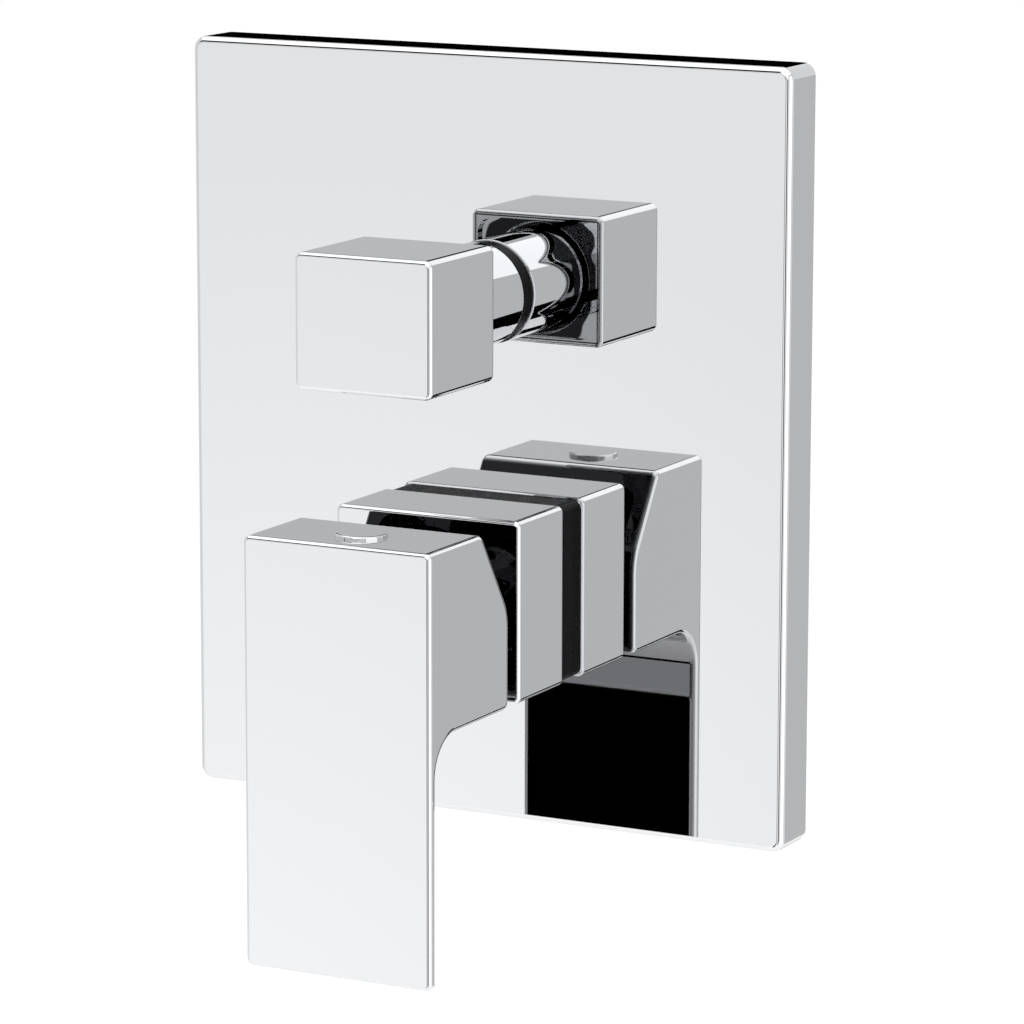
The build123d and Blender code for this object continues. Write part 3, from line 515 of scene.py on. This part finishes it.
def white_ceramic():
    """Ground ceramic with faint specks."""
    finish, shader = start_finish("white_ceramic", CERAMIC_LIGHT)
    shader.inputs["Coat Weight"].default_value = 0.2
    specks = spread(finish, grain(finish, CERAMIC_SPECK, detail=4.0), 0.0, 1.0)
    join(finish, tint(finish, specks, CERAMIC_DARK, CERAMIC_LIGHT), shader.inputs["Base Color"])
    sheen = spread(finish, grain(finish, CERAMIC_GRAIN), *CERAMIC_ROUGHNESS)
    join(finish, sheen, shader.inputs["Roughness"])
    return finish


finishes["grey_plastic"] = moulded_plastic("grey_plastic", *GREY_PLASTIC)
finishes["white_plastic"] = moulded_plastic("white_plastic", *WHITE_PLASTIC)
finishes["white_ceramic"] = white_ceramic()
print("made two plastics and", finishes["white_ceramic"].name)

# %% [markdown]
# ## Steel
# The pin, the circlip and the two socket screws are stainless steel with a drawn grain. Long
# scratches could be an anisotropic shader, which hardly shows on pieces this small. Noise that is
# stretched along Z gives the same lines more simply.

# %% Steel
STEEL = (0.56, 0.56, 0.57)
STEEL_LINE = 0.3 * MM
STEEL_STRETCH = (1.0, 1.0, 0.08)
STEEL_ROUGHNESS = (0.22, 0.38)
STEEL_DEPTH = 0.02 * MM


def drawn_steel():
    """Steel with fine lines along Z."""
    finish, shader = start_finish("drawn_steel", STEEL, metallic=1.0)
    stretch = add_node(finish, "Mapping", Scale=STEEL_STRETCH)
    join(finish, places(finish), stretch.inputs["Vector"])
    noise = add_node(finish, "TexNoise", Scale=1.0 / STEEL_LINE, Detail=3.0)
    join(finish, stretch.outputs["Vector"], noise.inputs["Vector"])
    lines = noise.outputs["Fac"]
    join(finish, spread(finish, lines, *STEEL_ROUGHNESS), shader.inputs["Roughness"])
    join(finish, relief(finish, lines, STEEL_DEPTH, strength=0.4), shader.inputs["Normal"])
    return finish


finishes["steel"] = drawn_steel()
print("finishes:", sorted(finishes))

# %% [markdown]
# ## Dress the solids
# The record says which finish each piece has, so no piece is dressed by hand. A solid may have
# several material slots, and each one gets the finish. The plate, the sleeve, the lever and the
# knob take the chromes that were made for them.

# %% Dress the solids
slot_of = {row["node"]: row["material_slot"] for row in frame["record"]["subparts"]}
for name, solid in solids.items():
    finish = own_chrome.get(name, finishes[slot_of[name]])
    for slot in solid.material_slots:
        slot.material = finish
print("dressed", len(solids), "solids,", len(own_chrome), "of them in a chrome of their own")

# %% [markdown]
# ## Wind a pipe thread
# Each of the four mouths takes a half-inch pipe with a parallel thread. Rings would look alike
# from afar, but a thread is one triangular ridge wound into a helix, so a triangle is drawn beside
# the axis and a Screw modifier winds it. The helix runs past both ends and is then cut flat, as
# a tap leaves it.

# %% Wind a pipe thread
THREAD_PITCH = 1.814 * MM
THREAD_HEIGHT = 0.55 * MM
THREAD_ROOT = 0.1 * MM
THREAD_START = 0.6 * MM
THREAD_STEPS = 48
RIDGE_SHARE = 0.8248
TRIANGLE_WIDTH = math.sqrt(3)
TRIANGLE_HEIGHT = 1.5
SMOOTH_ANGLE = math.radians(30)
MERGE_DISTANCE = 0.001 * MM
bore_radius = mouths[0]["dims"]["r_mm"] * MM
thread_length = mouths[0]["dims"]["length_mm"] * MM - 2 * THREAD_START


def draw_ridge(lowest):
    """Triangle beside the axis, one turn below the thread's end, pointing inwards."""
    depth = THREAD_HEIGHT + THREAD_ROOT
    bpy.ops.object.select_all(action="DESELECT")
    bpy.ops.mesh.primitive_circle_add(
        vertices=3,
        radius=1.0,
        fill_type="NOTHING",
        location=(bore_radius + THREAD_ROOT - depth / 3, 0, lowest - THREAD_PITCH),
        rotation=(math.pi / 2, -math.pi / 2, 0),
    )
    ridge = bpy.context.object
    width = RIDGE_SHARE * THREAD_PITCH
    ridge.scale = (width / TRIANGLE_WIDTH, depth / TRIANGLE_HEIGHT, 1.0)
    bpy.ops.object.transform_apply(location=True, rotation=True, scale=True)
    return ridge


def cut_flat(height, upwards):
    """Cut the mesh in edit mode at a height, drop what lies beyond and close the cut."""
    bpy.ops.mesh.select_all(action="SELECT")
    bpy.ops.mesh.bisect(
        plane_co=(0, 0, height),
        plane_no=(0, 0, upwards),
        threshold=MERGE_DISTANCE,
        use_fill=True,
        clear_outer=True,
    )


def wind_thread():
    """One ridge wound round Z, from just inside the mouth down to the thread's end."""
    lowest = -THREAD_START - thread_length
    ridge = draw_ridge(lowest)
    winding = ridge.modifiers.new("winding", "SCREW")
    winding.axis = "Z"
    winding.angle = 2 * math.pi
    winding.screw_offset = THREAD_PITCH
    winding.iterations = math.ceil(thread_length / THREAD_PITCH) + 2
    winding.steps = THREAD_STEPS
    winding.render_steps = THREAD_STEPS
    bpy.ops.object.modifier_apply(modifier="winding")
    bpy.ops.object.mode_set(mode="EDIT")
    bpy.ops.mesh.select_all(action="SELECT")
    bpy.ops.mesh.remove_doubles(threshold=MERGE_DISTANCE)
    cut_flat(-THREAD_START, 1)
    cut_flat(lowest, -1)
    bpy.ops.mesh.select_all(action="SELECT")
    bpy.ops.mesh.normals_make_consistent(inside=False)
    bpy.ops.object.mode_set(mode="OBJECT")
    bpy.ops.object.shade_smooth_by_angle(angle=SMOOTH_ANGLE)
    return ridge


ridge = wind_thread()
print("wound a thread of", len(ridge.data.polygons), "faces,", round(thread_length / MM, 1), "mm long")

# %% [markdown]
# ## Thread the four mouths
# All four mouths have the same thread, so the wound one is copied to each, turned to the mouth's
# axis, and its place is applied to the mesh. Winding it anew along each axis would do as well, but
# the Screw modifier works best along Z. The threads are cut in the casting, so they ride on its
# body and take its finish.

# %% Thread the four mouths
def thread_in(mouth):
    """Copy of the wound ridge, turned to a mouth's axis and fixed there."""
    bpy.ops.object.select_all(action="DESELECT")
    ridge.select_set(True)
    bpy.context.view_layer.objects.active = ridge
    bpy.ops.object.duplicate(linked=False)
    thread = bpy.context.object
    thread.name = mouth["name"] + "_thread"
    thread.rotation_mode = "QUATERNION"
    thread.rotation_quaternion = Vector((0, 0, 1)).rotation_difference(Vector(mouth["axis"]))
    thread.location = mouth["pos_m"]
    bpy.ops.object.transform_apply(location=True, rotation=True, scale=True)
    thread.data.materials.append(finishes["cast_brass"])
    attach(thread, "mixer_body")
    return thread


threads = [thread_in(mouth) for mouth in mouths]
bpy.data.objects.remove(ridge)
print("made", [thread.name for thread in threads])

# %% [markdown]
# ## Light cards
# Chrome has no colour of its own: it shows the room. Lamps would leave small bright spots in it,
# so the lights are large glowing cards in front, overhead and on the right. Dark cards stand where
# the rounded edges look, so each edge gets a thin dark line beside a bright one. Cards cast no
# shadow and stay out of the picture.

# %% Light cards
FRONT_STRENGTH = 1.26
FACING = {0: (0, math.pi / 2, 0), 1: (math.pi / 2, 0, 0), 2: (0, 0, 0)}
CARDS = {
    "front_softbox": ((-1.5, -1.6, -0.9), (1.5, -1.6, 0.9), FRONT_STRENGTH),
    "front_right_softbox": ((0.3, -1.59, -0.9), (1.5, -1.59, 0.9), 1.16),
    "front_high_softbox": ((-0.35, -1.4, 0.30), (0.60, -1.4, 1.10), 2.4),
    "overhead_softbox": ((-1.3, -1.5, 1.2), (1.3, 0.6, 1.2), 2.0),
    "right_softbox": ((1.5, -1.4, -0.9), (1.5, 0.2, 0.9), 2.0),
    "left_edge_flag": ((-0.30, -1.0, -0.75), (-0.14, -1.0, 0.10), 0.0),
    "right_edge_flag": ((0.14, -1.0, -0.75), (0.40, -1.0, 0.10), 0.0),
    "high_flag": ((-1.2, -1.0, 0.27), (-0.33, -1.0, 0.80), 0.0),
    "rear_flag": ((-0.75, 0.9, -0.50), (-0.20, 0.9, 0.50), 0.0),
    "rear_grey": ((0.20, 0.9, -0.60), (0.80, 0.9, 0.10), 0.72),
}


def emitter(name, strength):
    """Material of a card: a plain glow, or black with strength 0."""
    finish = bpy.data.materials.new(name)
    finish.use_nodes = True
    nodes = finish.node_tree.nodes
    nodes.remove(nodes["Principled BSDF"])
    glow = add_node(finish, "Emission", Strength=strength)
    join(finish, glow.outputs[0], nodes["Material Output"].inputs["Surface"])
    return finish


def card(name, low, high, strength):
    """Flat card that fills the box between two corners, one of its sides being zero."""
    centre = [(a + b) / 2 for a, b in zip(low, high)]
    sides = [b - a for a, b in zip(low, high)]
    bpy.ops.object.select_all(action="DESELECT")
    bpy.ops.mesh.primitive_plane_add(size=1.0, location=centre, rotation=FACING[sides.index(0)])
    made = bpy.context.object
    bpy.ops.object.transform_apply(location=False, rotation=True, scale=False)
    made.scale = [side or 1.0 for side in sides]
    made.name = name
    made.visible_camera = False
    made.visible_shadow = False
    made.data.materials.append(emitter(name, strength))
    return made


cards = {name: card(name, *place) for name, place in CARDS.items()}
print("cards up:", sorted(cards))

# %% [markdown]
# ## Shape the front light
# A real softbox is never even: it falls off towards its rim. From the camera's place the plate
# mirrors the middle of this light, the lever's blade its lower left, and the tops of the knob and
# the lever, seen by way of the plate, its upper part. So the light fades upwards and has a brighter
# pool low on the left. Two more cards would leave hard borders in the chrome, so the strength is
# worked out from the place on the card.

# %% Shape the front light
POOL_PLACE = (-0.95, -1.6, -0.75)
POOL_NEAR = 0.10
POOL_FAR = 0.60
POOL_EXTRA = 0.24
FADE_BOTTOM = -0.10
FADE_TOP = 0.14
FADE_LOSS = -0.26


def shape_front_light(finish, strength):
    """Fade a card's glow towards the top, and add a brighter pool low on its left."""
    position = add_node(finish, "NewGeometry").outputs["Position"]
    height = add_node(finish, "SeparateXYZ")
    join(finish, position, height.inputs[0])
    loss = spread(finish, height.outputs["Z"], 0.0, FADE_LOSS, FADE_BOTTOM, FADE_TOP)
    away = measure(finish, "DISTANCE", position, POOL_PLACE)
    extra = spread(finish, away, POOL_EXTRA, 0.0, POOL_NEAR, POOL_FAR)
    total = combine(finish, "ADD", combine(finish, "ADD", loss, extra), strength)
    join(finish, total, finish.node_tree.nodes["Emission"].inputs["Strength"])


shape_front_light(cards["front_softbox"].data.materials[0], FRONT_STRENGTH)
print("front light runs from", FRONT_STRENGTH + FADE_LOSS, "to", FRONT_STRENGTH + POOL_EXTRA)

# %% [markdown]
# ## Floor and room
# A white room and a white floor run into each other without a line. More light would do that too,
# but it would bleach the object. So rays that the camera and the chrome send out see full white,
# while the soft light that falls on dull surfaces is weaker, and brass, rubber and plastic keep
# their own colour. The floor still takes a shadow.

# %% Floor and room
WHITE = (1.0, 1.0, 1.0, 1.0)
ROOM_LIGHT = 0.55
FLOOR_Z = -0.75
FLOOR_SIZE = 14.0
FLOOR_COLOUR = (0.80, 0.80, 0.80)
FLOOR_GLOW = 0.53


def seen_directly(finish):
    """1 for camera, glossy and transmission rays, so that metal shows the same white room."""
    rays = add_node(finish, "LightPath").outputs
    seen = combine(finish, "MAXIMUM", rays["Is Camera Ray"], rays["Is Glossy Ray"])
    return combine(finish, "MAXIMUM", seen, rays["Is Transmission Ray"])


world = bpy.data.worlds.new("white_room")
scene.world = world
world.use_nodes = True
background = world.node_tree.nodes["Background"]
background.inputs["Color"].default_value = WHITE
room_level = spread(world, seen_directly(world), ROOM_LIGHT, 1.0, start=0.0, end=1.0)
join(world, room_level, background.inputs["Strength"])

bpy.ops.object.select_all(action="DESELECT")
bpy.ops.mesh.primitive_plane_add(size=FLOOR_SIZE, location=(0, 0, FLOOR_Z))
floor = bpy.context.object
floor.name = "studio_floor"
floor_finish, floor_shader = start_finish("studio_floor", FLOOR_COLOUR, roughness=0.8)
floor_level = spread(floor_finish, seen_directly(floor_finish), 0.0, FLOOR_GLOW, start=0.0, end=1.0)
floor_shader.inputs["Emission Color"].default_value = WHITE
join(floor_finish, floor_level, floor_shader.inputs["Emission Strength"])
floor.data.materials.append(floor_finish)
print("room ready, floor at", FLOOR_Z, "m")

# %% [markdown]
# ## Camera
# The view is from the right and a little above, with a long lens, so the upright edges stay
# nearly parallel. A camera could be aimed with a Track To constraint, but the picture is also
# rolled by a hair. So its three axes are worked out from two angles and the roll, which were
# measured from the edges of the plate, the knob and the lever in the picture.

# %% Camera
CAMERA_AZIMUTH = math.radians(27.6)
CAMERA_ELEVATION = math.radians(10.96)
CAMERA_ROLL = math.radians(0.116)
CAMERA_DISTANCE = 1.1165
CAMERA_LENS = 174.9
SENSOR_WIDTH = 36.0
AIM_X = 7.49 * MM
AIM_Z = -16.08 * MM
aim = Vector((AIM_X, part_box("face_plate")[0].y, AIM_Z))
back = Vector((
    math.sin(CAMERA_AZIMUTH) * math.cos(CAMERA_ELEVATION),
    -math.cos(CAMERA_AZIMUTH) * math.cos(CAMERA_ELEVATION),
    math.sin(CAMERA_ELEVATION),
))
level_right = Vector((math.cos(CAMERA_AZIMUTH), math.sin(CAMERA_AZIMUTH), 0))
level_up = back.cross(level_right)
right = math.cos(CAMERA_ROLL) * level_right + math.sin(CAMERA_ROLL) * level_up
up = back.cross(right)

bpy.ops.object.camera_add()
camera = bpy.context.object
camera.data.lens = CAMERA_LENS
camera.data.sensor_width = SENSOR_WIDTH
camera.data.clip_start = 0.01
camera.data.clip_end = 50.0
turn = Matrix((right, up, back)).transposed().to_4x4()
camera.matrix_world = Matrix.Translation(aim + back * CAMERA_DISTANCE) @ turn
scene.camera = camera
print("camera at", [round(v, 3) for v in camera.location])
